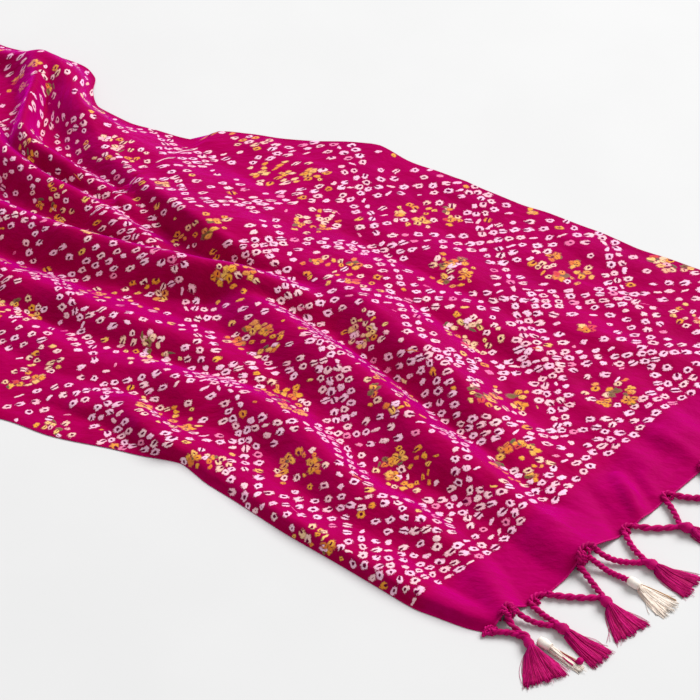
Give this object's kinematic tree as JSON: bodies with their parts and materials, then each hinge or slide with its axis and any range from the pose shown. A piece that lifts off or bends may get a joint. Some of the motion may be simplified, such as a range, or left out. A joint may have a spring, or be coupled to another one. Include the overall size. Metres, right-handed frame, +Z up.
{
  "type": "printed dupatta",
  "caption": "Long printed shawl lying in soft lengthwise folds, with plain end bands, rolled hems and a twisted-cord tassel fringe at both ends.",
  "frame": {"origin": "under the middle of the whole object, on the surface it lies on", "axes": "+X along the length towards the end that the picture shows, +Y across the width, +Z up"},
  "size_m": [2.4374, 0.6986, 0.0336],
  "materials": {
    "crepe": "soft crepe with a low sheen, magenta with small white, yellow and olive tie-dye dots, plain end bands",
    "pink_yarn": "twisted magenta yarn, slightly lustrous",
    "cream_yarn": "soft cream thread with an off-white wrapped bead"
  },
  "bodies": {
    "root": {"cloth": "crepe", "cream_a1": "cream_yarn", "cream_a2": "cream_yarn", "cream_a3": "cream_yarn", "cream_a4": "cream_yarn", "cream_b1": "cream_yarn", "cream_b2": "cream_yarn", "cream_b3": "cream_yarn", "cream_b4": "cream_yarn", "tassel_a01": "pink_yarn", "tassel_a02": "pink_yarn", "tassel_a03": "pink_yarn", "tassel_a04": "pink_yarn", "tassel_a05": "pink_yarn", "tassel_a06": "pink_yarn", "tassel_a07": "pink_yarn", "tassel_a08": "pink_yarn", "tassel_a09": "pink_yarn", "tassel_a10": "pink_yarn", "tassel_a11": "pink_yarn", "tassel_b01": "pink_yarn", "tassel_b02": "pink_yarn", "tassel_b03": "pink_yarn", "tassel_b04": "pink_yarn", "tassel_b05": "pink_yarn", "tassel_b06": "pink_yarn", "tassel_b07": "pink_yarn", "tassel_b08": "pink_yarn", "tassel_b09": "pink_yarn", "tassel_b10": "pink_yarn", "tassel_b11": "pink_yarn"}
  },
  "joints": []
}
